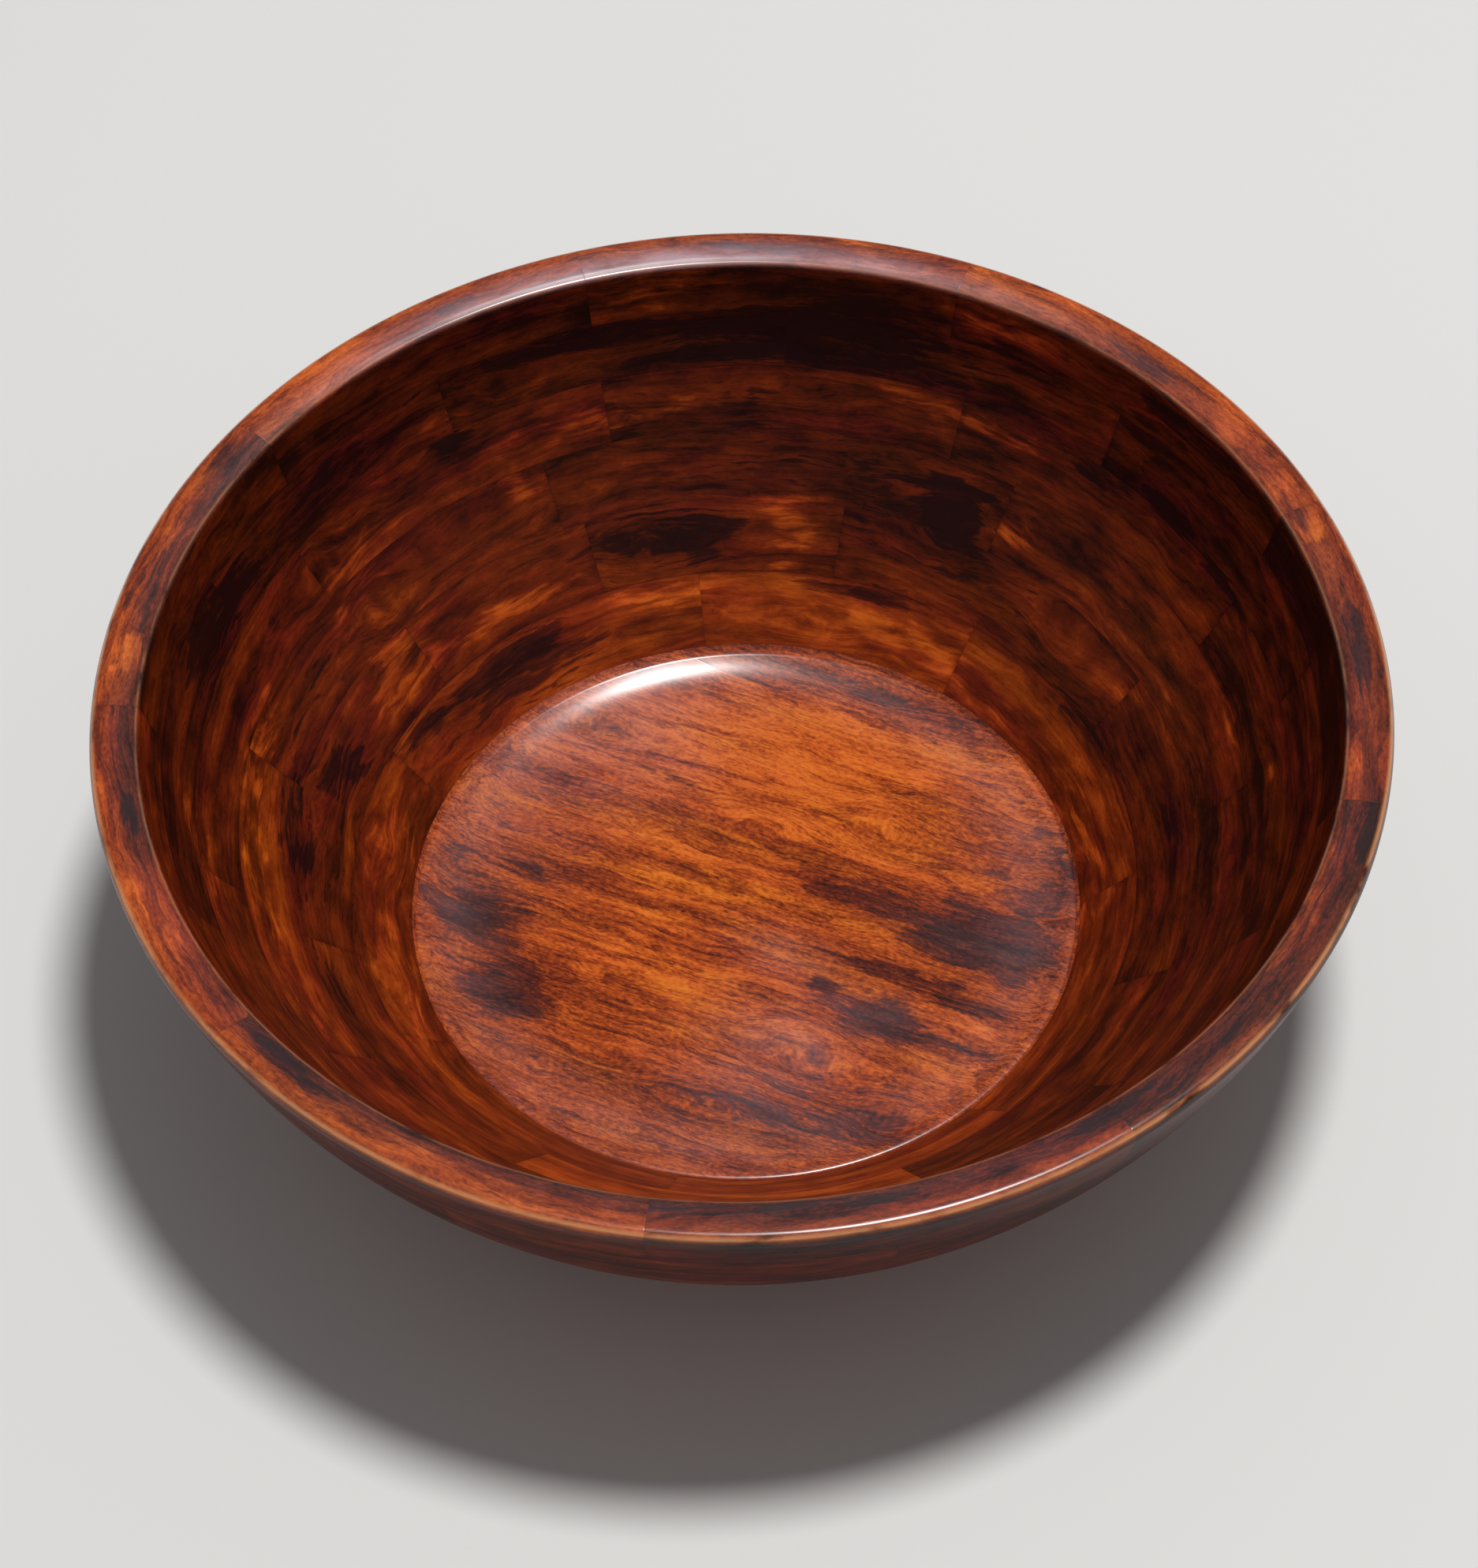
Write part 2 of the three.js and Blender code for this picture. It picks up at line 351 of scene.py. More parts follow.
def plank_surface(low, high):
    """Upper and lower strip of one plank, joined along its rim and closed at the saw cuts."""
    upper, lower = upper_outline(), lower_outline()
    lines = plank_lines(low, high, np.unique(np.concatenate([upper[:, 0], lower[:, 0]])))
    to_cut = np.minimum(np.where(low > -base_radius + 1, lines - low, no_joint),
                        np.where(high < base_radius - 1, high - lines, no_joint))
    top = strip(upper, lines)
    depth = sink(to_cut, plank_joint_depth)[:, None]
    top[..., 2] -= np.where(np.hypot(top[..., 0], top[..., 1]) < seat_radius - hair, depth, 0)
    under = strip(lower, lines)
    under[..., 2] += np.where(under[..., 2] < board_thickness - hair, depth, 0)
    rows = len(lines)
    top_count, under_count = top.shape[1], under.shape[1]

    def quads(offset, count, flip):
        """Faces between each row of count points and the next; flipped ones look down."""
        here = offset + (np.arange(rows - 1)[:, None] * count + np.arange(count - 1)).ravel()
        corners = np.stack([here, here + 1, here + count + 1, here + count], 1)
        return corners[:, ::-1] if flip else corners

    vertices = np.concatenate([top.reshape(-1, 3), under.reshape(-1, 3)])
    base = rows * top_count
    faces = [*quads(0, top_count, False).tolist(), *quads(base, under_count, True).tolist()]
    first = [*range(top_count - 1, -1, -1), *range(base + 1, base + under_count - 1)]
    last_top = (rows - 1) * top_count
    last_under = base + (rows - 1) * under_count
    last = [*range(last_top, last_top + top_count),
            *range(last_under + under_count - 2, last_under, -1)]
    return vertices, faces, first, last


# %% [markdown]
# ## From arrays to pieces
#
# Blender gets each piece as a mesh in metres. Doubled points are merged, so that the piece is closed,
# and everything that the wood needs to know is stored on the points: where they lie in the board that
# the piece was cut from, how light that board is, and where dark heartwood crosses it.

# %% Make a piece and let it stand for its solid
import bmesh

merge_distance = 0.002 * MM
sharp_from = math.radians(38)


def make_piece(node, vertices, faces):
    """Mesh object for a node: merged, closed, smooth across the turned surface and sharp at its joints."""
    mesh = bpy.data.meshes.new("turned_" + node)
    mesh.from_pydata((vertices * MM).tolist(), [], faces)
    work = bmesh.new()
    work.from_mesh(mesh)
    bmesh.ops.remove_doubles(work, verts=work.verts, dist=merge_distance)
    bmesh.ops.dissolve_degenerate(work, edges=work.edges, dist=merge_distance)
    open_edges = sum(not edge.is_manifold for edge in work.edges)
    if work.calc_volume(signed=True) < 0:
        bmesh.ops.reverse_faces(work, faces=work.faces)
    work.to_mesh(mesh)
    work.free()
    mesh.polygons.foreach_set("use_smooth", np.ones(len(mesh.polygons), bool))
    mesh.set_sharp_from_angle(angle=sharp_from)
    piece = bpy.data.objects.new("turned_" + node, mesh)
    bpy.context.scene.collection.objects.link(piece)
    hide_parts(node)
    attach(piece, "root")
    if open_edges:
        print(f"{node}: {open_edges} open edges")
    return piece


def points_of(piece):
    """All vertices of a piece as an array of millimetres."""
    flat = np.empty(3 * len(piece.data.vertices), np.float32)
    piece.data.vertices.foreach_get("co", flat)
    return flat.reshape(-1, 3).astype(float) / MM


def store(piece, name, values):
    """One number or one vector for each vertex, kept on the mesh under a name."""
    kind, field = ("FLOAT_VECTOR", "vector") if values.ndim == 2 else ("FLOAT", "value")
    layer = piece.data.attributes.new(name, kind, "POINT")
    layer.data.foreach_set(field, values.astype(np.float32).ravel())


# %% Build the planks and the blocks
planks, blocks, plank_cuts, block_ends = {}, {}, {}, {}
for number in range(1, 7):
    node = f"base_plank_{number}"
    low, high = (corner[1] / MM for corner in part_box(node))
    if number == 1:
        low = -base_radius
    if number == 6:
        high = base_radius
    plank_cuts[node] = low, high
    vertices, faces, first, last = plank_surface(low, high)
    if number > 1:
        faces.append(first)
    if number < 6:
        faces.append(last)
    planks[node] = make_piece(node, vertices, faces)

for level, (course, degrees) in enumerate(joint_degrees.items(), 1):
    bottom, top = level * board_thickness, (level + 1) * board_thickness
    is_rim = course == "rim"
    section, from_joint = (rim_section if is_rim else plain_section)(bottom, top)
    normals = section_normals(section, is_rim)
    for number, start in enumerate(degrees):
        end = degrees[number + 1] if number + 1 < len(degrees) else degrees[0] + 360
        node = f"{course}_block_{number + 1}"
        block_ends[node] = math.radians(start), math.radians(end)
        vertices, faces = block_surface(section, normals, from_joint, *block_ends[node])
        blocks[node] = make_piece(node, vertices, faces)
pieces = {**planks, **blocks}
print(f"{len(planks)} planks and {len(blocks)} blocks,",
      sum(len(piece.data.polygons) for piece in pieces.values()), "faces")

# %% [markdown]
# ## Which board each piece came from
#
# Growth rings are long cones, nearly straight tubes over the length of a block. A point's place in its
# board is given by three numbers: how far along the grain it lies, and its place across the grain,
# measured from the pith of the tree. Boards were sawn at different distances from the pith, so their
# rings lie flatter or steeper. The grain of this bowl follows its wall closely, as if the blocks came
# from naturally bowed branches, so most of a block's bend goes into its grain as well. Here and there it
# flows round a knot: near one, distances across the grain are shrunk, which spreads the pattern there.
# Everything random comes from one seeded generator.

# %% Knots that the grain flows round
knot_pull = 0.8
floor_knots = [  # x and y, half length and half width, in millimetres
    (-8, 36, 14, 7), (46, -52, 20, 10), (20, -84, 16, 6), (84, -66, 12, 8), (38, 52, 14, 9),
    (-80, 60, 16, 8),
]
wall_knots = [  # degrees round the wall and height in millimetres; half length in degrees
    (24, 87, 4, 5), (61, 55, 6, 7), (84, 62, 5, 7), (104, 27, 7, 5), (125, 50, 7, 7), (152, 73, 6, 5),
    (171, 90, 5, 8), (166, 68, 5, 7), (196, 34, 5, 7), (196, 55, 5, 6), (222, 33, 6, 7), (108, 93, 6, 5),
    (138, 110, 7, 6), (268, 60, 7, 7), (310, 85, 6, 6), (338, 50, 6, 7), (0, 112, 6, 6), (240, 108, 6, 6),
]


def spot(along, across, half_length, half_width):
    """Bell-shaped bump: exp(-0.7 d squared), d being the distance in half lengths and half widths."""
    return np.exp(-0.7 * ((along / half_length) ** 2 + (across / half_width) ** 2))


def wrapped(degrees):
    """The same angle between -180 and 180 degrees."""
    return np.mod(degrees + 180, 360) - 180


# %% Place in the board
chance = np.random.default_rng(24)
grain_bend = 0.75
board_half_length = 900
plank_pith = (35, 90), (5, 50)
block_pith = (30, 100), (0, 55)


def counted_from(start, angle):
    """The same angle in radians, counted on round the bowl from the joint where a block starts."""
    play = 0.1
    return np.mod(angle - start + play, 2 * math.pi) - play + start


def pith(distance_range, tilt_range):
    """Place of the pith as seen from the piece's middle, across the board and above or below it: a
    distance in millimetres, at a tilt in degrees from straight up or down."""
    distance = chance.uniform(*distance_range)
    tilt = math.radians(chance.uniform(*tilt_range)) * chance.choice([-1, 1])
    side = chance.choice([-1, 1])
    return distance * math.sin(tilt), side * distance * math.cos(tilt)


# %% Board coordinates of the planks
for node, piece in planks.items():
    x, y, z = points_of(piece).T
    middle = (y.min() + y.max()) / 2
    for knot_x, knot_y, half_length, half_width in floor_knots:
        pull = knot_pull * spot(x - knot_x, y - knot_y, half_length, half_width)
        y = y - pull * (y - knot_y)
    across, above = pith(*plank_pith)
    along = x + chance.uniform(-board_half_length, board_half_length)
    store(piece, "board", np.stack([along, y - middle - across, z - board_thickness / 2 - above], 1))

# %% Board coordinates of the blocks
for node, piece in blocks.items():
    x, y, z = points_of(piece).T
    start, end = block_ends[node]
    radius, angle = np.hypot(x, y), counted_from(start, np.arctan2(y, x))
    turn = angle - (start + end) / 2
    centre, level = (radius.min() + radius.max()) / 2, z.mean()
    for knot_angle, knot_height, half_length, half_width in wall_knots:
        aside = wrapped(np.degrees(angle) - knot_angle)
        pull = knot_pull * spot(aside, z - knot_height, half_length, half_width)
        z = z - pull * (z - knot_height)
        radius = radius - pull * (radius - float(inside(knot_height)))
    along = grain_bend * turn * centre + (1 - grain_bend) * radius * np.sin(turn)
    outwards = grain_bend * radius + (1 - grain_bend) * radius * np.cos(turn)
    across, above = pith(*block_pith)
    along = along + chance.uniform(-board_half_length, board_half_length)
    store(piece, "board", np.stack([along, outwards - centre - across, z - level - above], 1))

# %% [markdown]
# ## Light boards, dark boards and their marks
#
# Stain turns heartwood nearly black and sapwood orange, so every board has its own tone, and some have
# marks: a dark patch, a pale streak, a knot. A mark is an ellipse laid along the grain. It goes through
# the thickness of the board, so the outer side of the wall shows it too. Such marks give a particular
# bowl its face, so they were placed on views of it; the wood's own noise breaks up their outlines.
# The tones were not set by eye. They were matched, board by board, to mean colours measured in a
# photograph of the bowl. Use leaves traces as well: rubbed lacquer turns milky, and the stain wears off
# the edges. Part of the milkiness and of the pale edge lines is painted sheen and painted highlight, put
# into the colour where a lamp would shine.

# %% Tone of each board, from 0, darkest, to 1, palest
tones = {
    "base_plank": [0.79, 0.84, 0.85, 0.86, 0.88, 0.79],
    "wall_1": [0.52, 0.60, 0.59, 0.50, 0.55, 0.58, 0.53],
    "wall_2": [0.32, 0.42, 0.43, 0.42, 0.42, 0.46, 0.70, 0.38],
    "wall_3": [0.39, 0.34, 0.42, 0.46, 0.48, 0.24, 0.34],
    "wall_4": [0.29, 0.34, 0.31, 0.37, 0.36, 0.40, 0.40, 0.34],
    "wall_5": [0.25, 0.28, 0.30, 0.33, 0.31, 0.42, 0.40, 0.34, 0.31],
    # Partly painted shade: the rim's sides are toned darker than its top, its first block darkest of all
    "rim": [0.10, 0.36, 0.31, 0.25, 0.31, 0.43, 0.38, 0.34, 0.28],
}
# Painted light and shade: the rim's top is toned paler than its sides, as light falls on it; tones towards
# its inner and its outer edge
rim_top_inner_lit_tones = [0.60, 0.74, 0.78, 0.80, 0.57, 0.57, 0.51, 0.37, 0.48]
rim_top_outer_lit_tones = [0.66, 0.75, 0.71, 0.84, 0.76, 0.75, 0.79, 0.74, 0.48]

# %% Marks: place, half length along the grain, half width across it, and strength, below 0 for dark
floor_marks = [  # x and y in millimetres
    (85, 15, 25, 12, -1.2), (46, 20, 10, 5, -0.4), (24, 18, 9, 4, -0.6), (66, -29, 19, 8, -1.2),
    (38, -21, 5, 3.5, -0.8), (50, -7, 24, 2.5, -0.8), (92, -11, 20, 3.5, -0.9), (98, -29, 13, 3, -0.6),
    (-90, -38, 16, 9, -1.0), (-66, -66, 15, 10, -1.3), (-80, 22, 14, 4, -0.5), (-84, -14, 12, 3, -0.5),
    (-108, -17, 8, 5, -0.6), (42, 61, 6, 6, -0.5), (10, 109, 55, 5, -0.6), (45, -78, 26, 7, -0.7),
    (46, -58, 24, 12, -0.4), (80, -70, 18, 9, -0.6), (81, -47, 7, 5, -0.6), (103, 55, 10, 24, -0.5),
    (0, 86, 42, 13, 1.0), (0, 62, 32, 8, 0.9), (40, 88, 18, 6, 0.6), (5, 42, 30, 9, 0.6),
    (-25, 4, 22, 8, 0.6), (-10, -42, 28, 9, 0.7), (0, -60, 20, 5, 0.6), (96, -20, 14, 4, 0.9),
    (92, -39, 22, 6, 0.8), (-24, 62, 34, 22, 0.7), (-20, -16, 32, 16, 0.5), (12, -46, 30, 9, 0.4),
    (-76, 46, 26, 12, 0.4), (76, 52, 26, 22, -0.35), (10, -88, 26, 8, -0.5), (28, 24, 18, 8, -0.45),
    (-74, -12, 20, 10, -0.25), (-82, -40, 28, 14, -0.15),
]
wall_marks = [  # degrees round the wall and height in millimetres; half length in degrees
    (124, 50, 10, 7, -1.0), (83, 67, 4.5, 10, -1.0), (76, 53, 8, 5, -0.5), (100, 70, 11, 8, -0.5),
    (103, 115, 13, 6, -0.9), (110, 105, 15, 3, -0.8), (133, 116, 14, 4, -0.7), (97, 126, 7, 4, -0.5),
    (148, 97, 2, 5, -0.8), (113, 85, 4, 4, -0.7), (175, 89, 4, 6, -0.6), (180, 74, 5, 5, -0.6),
    (186, 112, 7, 8, -0.9), (164, 114, 6, 5, -0.6), (200, 63, 10, 5, -0.5), (187, 50, 7, 6, -0.6),
    (206, 55, 4, 5, -0.6), (228, 53, 5, 6, -0.7), (95, 38, 9, 2.5, -0.7), (150, 34, 9, 4, -0.7),
    (172, 37, 6, 4, -0.6), (59, 102, 4, 3, -1.0), (47, 100, 5, 2, -0.7), (70, 96, 4, 3, -0.5),
    (27, 53, 6, 6, -0.5), (22, 66, 9, 4, -0.5), (50, 40, 10, 3, -0.5), (55, 130, 22, 7, -0.5),
    (24, 85, 2, 3, -0.8), (85, 128, 5, 7, 1.0), (122, 128, 5, 6, 0.7), (142, 105, 8, 2.5, 0.6),
    (130, 87, 9, 4, 0.7), (142, 76, 2, 4, 0.8), (167, 91, 5, 7, 0.6), (167, 76, 5, 12, 0.6),
    (196, 77, 13, 4, 0.7), (216, 71, 14, 3, 0.6), (209, 104, 3, 3, 0.8), (215, 96, 5, 4, 0.7),
    (171, 52, 6, 8, 0.9), (151, 46, 12, 2.5, 0.9), (106, 51, 4, 9, 0.9), (113, 60, 8, 1.2, 0.8),
    (76, 67, 4, 3.5, 0.9), (84, 78, 3, 2, 0.9), (90, 94, 7, 4, 0.8), (80, 93, 5, 2.5, 0.6),
    (23, 91, 1.3, 2.5, 1.0), (35, 79, 5, 2, 0.5), (50, 60, 9, 8, 0.4), (35, 25, 25, 5, 0.5),
    (92, 29, 14, 4, 0.9), (195, 30, 7, 8, 0.7), (222, 30, 11, 8, 0.7), (128, 36, 9, 4, 0.7),
    (155, 29, 15, 8, -0.5), (226, 128, 9, 6, 0.4),
]
rim_marks = [  # degrees round the rim and radius in millimetres; half length in degrees
    (42, 212, 1.6, 7, 0.9), (48.5, 213, 1.5, 8, 0.7), (57, 212, 2.4, 8, 1.0), (15, 209, 5, 3, 0.9),
    (84, 217, 7, 5, 1.3), (100, 215, 3, 6, 0.6), (158, 214, 6, 7, 1.5), (182, 213, 1.5, 7, 0.6),
    (197, 212, 2.5, 6, 0.9), (222, 219, 10, 3, 0.5), (234, 214, 6, 5, 0.5), (270, 214, 6, 4, 0.4),
    (52.5, 214, 1.6, 6, -0.6), (69, 211, 5, 7, -0.6), (5, 218, 6, 4, -0.7), (28, 214, 7, 7, -0.6),
    (-33, 211, 5, 5, -0.7), (-6, 207, 5, 5, 1.4), (-20, 213, 6, 4, -0.4), (112, 213, 6, 6, -0.5),
    (145, 211, 6, 5, -0.5), (129, 217, 6, 4, -0.4), (189, 217, 5, 4, -0.5), (172, 213, 2, 7, -0.6),
    (206, 209, 5, 4, -0.2), (217, 210, 5, 4, -0.8), (250, 211, 6, 5, -0.7), (300, 210, 12, 4, -0.6),
]

# %% Milky places in the lacquer, where hands and salad servers have rubbed it, and painted sheen: grey-lilac highlights put into the colour where a lamp would shine
floor_milky_and_sheen = [
    (36, -50, 22, 14, 1.4), (32, -76, 24, 10, 1.2), (84, 16, 26, 11, 0.4), (62, -26, 20, 8, 0.9),
    (20, -14, 16, 9, 0.8), (-88, 25, 22, 45, 0.6), (-66, 60, 28, 26, 1.0), (84, 62, 26, 34, 0.35),
    (20, -104, 40, 8, 0.4),
]
rim_milky_and_sheen = [(120, 208, 25, 5, 5.6), (300, 212, 25, 6, 0.3)]
floor_milky_and_sheen_ring = 108, 12, 0.6  # radius, half width and strength of an even ring of milky lacquer and painted sheen
rim_milky_and_sheen_ring = 209, 6, 0.25

# %% Edges where the stain has worn off, and on the rim's two edges also a painted highlight where the arris catches light: radius, height, reach of the wear and its strength
worn_and_highlit_edges = [
    (rim_radius - 2.0, bowl_height - 0.9, 0.75, 1.0),
    (rim_radius - rim_width + 0.4, bowl_height - rim_fall - 0.2, 0.4, 0.4),
    (foot_radius - 1, 1, 2.5, 0.5),
]


# %% Marks on the points of a piece
def marks_at(marks, along, across, goes_round=False):
    """Sum of the marks, each its strength times a bell shape. Angles along the grain may go round."""
    total = np.zeros_like(along)
    for middle, level, half_length, half_width, strength in marks:
        offset = wrapped(along - middle) if goes_round else along - middle
        total += strength * spot(offset, across - level, half_length, half_width)
    return total


def ring_at(radius, ring):
    """An even ring: its strength times a bell shape over the distance from its radius."""
    middle, half_width, strength = ring
    return strength * spot(0, radius - middle, 1, half_width)


def worn_and_highlight_at(radius, height):
    """Sum over the worn and highlit edges: strength times exp(-d squared), d being the distance in reaches.
    """
    total = np.zeros_like(radius)
    for edge_radius, edge_height, reach, strength in worn_and_highlit_edges:
        distance = np.hypot(radius - edge_radius, height - edge_height)
        total += strength * np.exp(-((distance / reach) ** 2))
    return total


def rising(value, start, over):
    """0 up to start, then rising evenly to 1 over a stretch."""
    return np.clip((value - start) / over, 0, 1)


# %% Looks of a plank
plank_contrast = 0.92
middle_lacquer, underside_lacquer = 0.35, 0.3
rubbed_radius, rubbed_fade = 82, 20


def plank_looks(node, x, y, z):
    """Marks by x and y; joints at the saw cuts and under the wall; lacquer thicker towards the edge."""
    radius = np.hypot(x, y)
    low, high = plank_cuts[node]
    to_joint = np.minimum(np.where(low > -base_radius, y - low, no_joint),
                          np.where(high < base_radius, high - y, no_joint))
    from_wall = np.where(z > floor_height + 1, np.abs(seat_radius - radius), no_joint)
    upper_lacquer = middle_lacquer + (1 - middle_lacquer) * rising(radius, rubbed_radius, rubbed_fade)
    return {
        "tone": np.full_like(x, tones["base_plank"][int(node[-1]) - 1]),
        "figure": marks_at(floor_marks, x, y),
        # Painted sheen with milky lacquer: greyish light mixed into the floor's colour
        "bloom": ring_at(radius, floor_milky_and_sheen_ring) + marks_at(floor_milky_and_sheen, x, y),
        "lacquer": np.where(z > floor_height - 1, upper_lacquer, underside_lacquer),
        "contrast": np.full_like(x, plank_contrast),
    }, np.minimum(to_joint, from_wall)


# %% Looks of a block
wall_lacquer, wall_contrast = 0.12, 0.36
rim_lacquer, rim_contrast = 1.0, 0.70
rim_middle, rim_blend = 211, 7


def block_looks(node, x, y, z):
    """Marks by angle and height, on the rim's top by angle and radius; joints at the block's edges."""
    course, number = node.rsplit("_block_", 1)
    start, end = block_ends[node]
    radius, angle = np.hypot(x, y), np.arctan2(y, x)
    degrees = np.degrees(angle)
    angle = counted_from(start, angle)
    to_joint = np.minimum(np.minimum(angle - start, end - angle) * radius, z - z.min())
    tone = np.full_like(x, tones[course][int(number) - 1])
    figure = marks_at(wall_marks, degrees, z, True)
    bloom = np.zeros_like(x)
    if course == "rim":
        on_top = rising(z, bowl_height - 3, 2)
        outwards = rising(radius, rim_middle, rim_blend)
        # Painted light: the rim's top takes paler tones than its sides
        inner, outer = rim_top_inner_lit_tones[int(number) - 1], rim_top_outer_lit_tones[int(number) - 1]
        tone = tone * (1 - on_top) + (inner * (1 - outwards) + outer * outwards) * on_top
        figure = figure * (1 - on_top) + marks_at(rim_marks, degrees, radius, True) * on_top
        # Painted sheen with milky lacquer on the rim's top
        bloom = (marks_at(rim_milky_and_sheen, degrees, radius, True) + ring_at(radius, rim_milky_and_sheen_ring)) * on_top
    else:
        to_joint = np.minimum(to_joint, z.max() - z)
    rim_share = rising(z, bowl_height - 4, 2)
    return {
        "tone": tone, "figure": figure, "bloom": bloom,
        "lacquer": wall_lacquer + (rim_lacquer - wall_lacquer) * rim_share,
        "contrast": wall_contrast + (rim_contrast - wall_contrast) * rim_share,
    }, to_joint


# %% Store the looks on the points
seam_reach = 0.5
for node, piece in pieces.items():
    x, y, z = points_of(piece).T
    looks, to_joint = (plank_looks if node in planks else block_looks)(node, x, y, z)
    looks["seam"] = np.clip(1 - to_joint / seam_reach, 0, 1)
    # Worn stain, and on the rim's edges a painted highlight
    looks["worn"] = worn_and_highlight_at(np.hypot(x, y), z)
    for name, values in looks.items():
        store(piece, name, values)
print(len(floor_marks) + len(wall_marks) + len(rim_marks), "marks laid out on", len(pieces), "boards")

# %% [markdown]
# ## Shader maths as ordinary maths
#
# A finish is mostly arithmetic on patterns. The class below wraps a socket, so that an expression such
# as `1 - mask` or `rings * 0.3` adds the Math nodes by itself. Every other node comes from one method.


# %% Sockets that can be added and multiplied
class Socket:
    """An output socket in a node tree that can be used in expressions."""

    def __init__(self, tree, output=None):
        self.tree, self.output = tree, output

    def node(self, kind, settings, inputs, output=0):
        """Adds a node of a kind, sets its settings first, then its sockets' values or links."""
        made = self.tree.nodes.new("ShaderNode" + kind)
        for name, value in settings.items():
            if name == "stops":
                ramp = made.color_ramp
                while len(ramp.elements) < len(value):
                    ramp.elements.new(0.5)
                for element, (position, color) in zip(ramp.elements, value):
                    element.position, element.color = position, (*color, 1)
            else:
                setattr(made, name, value)
        for name, value in inputs.items():
            if isinstance(value, Socket):
                self.tree.links.new(value.output, made.inputs[name])
            else:
                made.inputs[name].default_value = value
        return Socket(self.tree, made.outputs[output])

    def maths(self, operation, *values):
        """One Math node on these values."""
        return self.node("Math", {"operation": operation}, dict(enumerate(values)))

    def __add__(self, other):
        return self.maths("ADD", self, other)

    __radd__ = __add__

    def __sub__(self, other):
        return self.maths("SUBTRACT", self, other)

    def __rsub__(self, other):
        return self.maths("SUBTRACT", other, self)

    def __mul__(self, other):
        return self.maths("MULTIPLY", self, other)

    __rmul__ = __mul__

    def ramped(self, low, high):
        """0 below low and 1 above high, smooth between; low may be the larger."""
        settings = {"interpolation_type": "SMOOTHSTEP"}
        return self.node("MapRange", settings, {"Value": self, "From Min": low, "From Max": high})

    def attribute(self, name, output="Fac"):
        """What was stored on the mesh's points under a name."""
        return self.node("Attribute", {"attribute_name": name}, {}, output)

    def vector(self, operation, *values, output=0):
        """One Vector Math node on this vector and these values."""
        inputs = dict(enumerate((self, *values)))
        return self.node("VectorMath", {"operation": operation}, inputs, output)

    def stretched(self, along, across):
        """A position for a pattern whose grain is along and across millimetres long and wide."""
        return self.vector("MULTIPLY", (1 / along, 1 / across, 1 / across))

    def noise(self, detail=2.0, roughness=0.5, output=0):
        """Smooth noise around 0.5; output 1 is three such numbers, as a colour."""
        inputs = {"Vector": self, "Scale": 1.0, "Detail": detail, "Roughness": roughness}
        return self.node("TexNoise", {}, inputs, output)


def mixed(factor, first, second, blend="MIX"):
    """Two colours mixed by a factor; each may be a socket or a plain colour."""
    source = next(value for value in (factor, first, second) if isinstance(value, Socket))
    plain = [value if isinstance(value, Socket) else (*value, 1) for value in (first, second)]
    settings = {"data_type": "RGBA", "blend_type": blend}
    return source.node("Mix", settings, {0: factor, 6: plain[0], 7: plain[1]}, 2)


# %% [markdown]
# ## Stained and lacquered wood
#
# Red-brown stain soaks in unevenly: open, soft wood drinks it and goes dark, dense wood stays orange.
# So one number, how light the wood is, collects everything that varies: the board's own tone, broad
# bands, mottling, growth rings, fine fibres and pores. A colour ramp turns it into stain colours, from
# purplish black to golden orange, and slow noise shifts them towards crimson or gold. Milky lacquer with
# painted sheen adds a little grey, and on the rim's two edges and the foot the stain is worn to pale wood,
# with a painted highlight along the rim's edges. The lacquer is a clear coat over a satin body, thick on
# the rim and towards the floor's edge and rubbed thin elsewhere.

# %% The wood
ring_width = 3.1


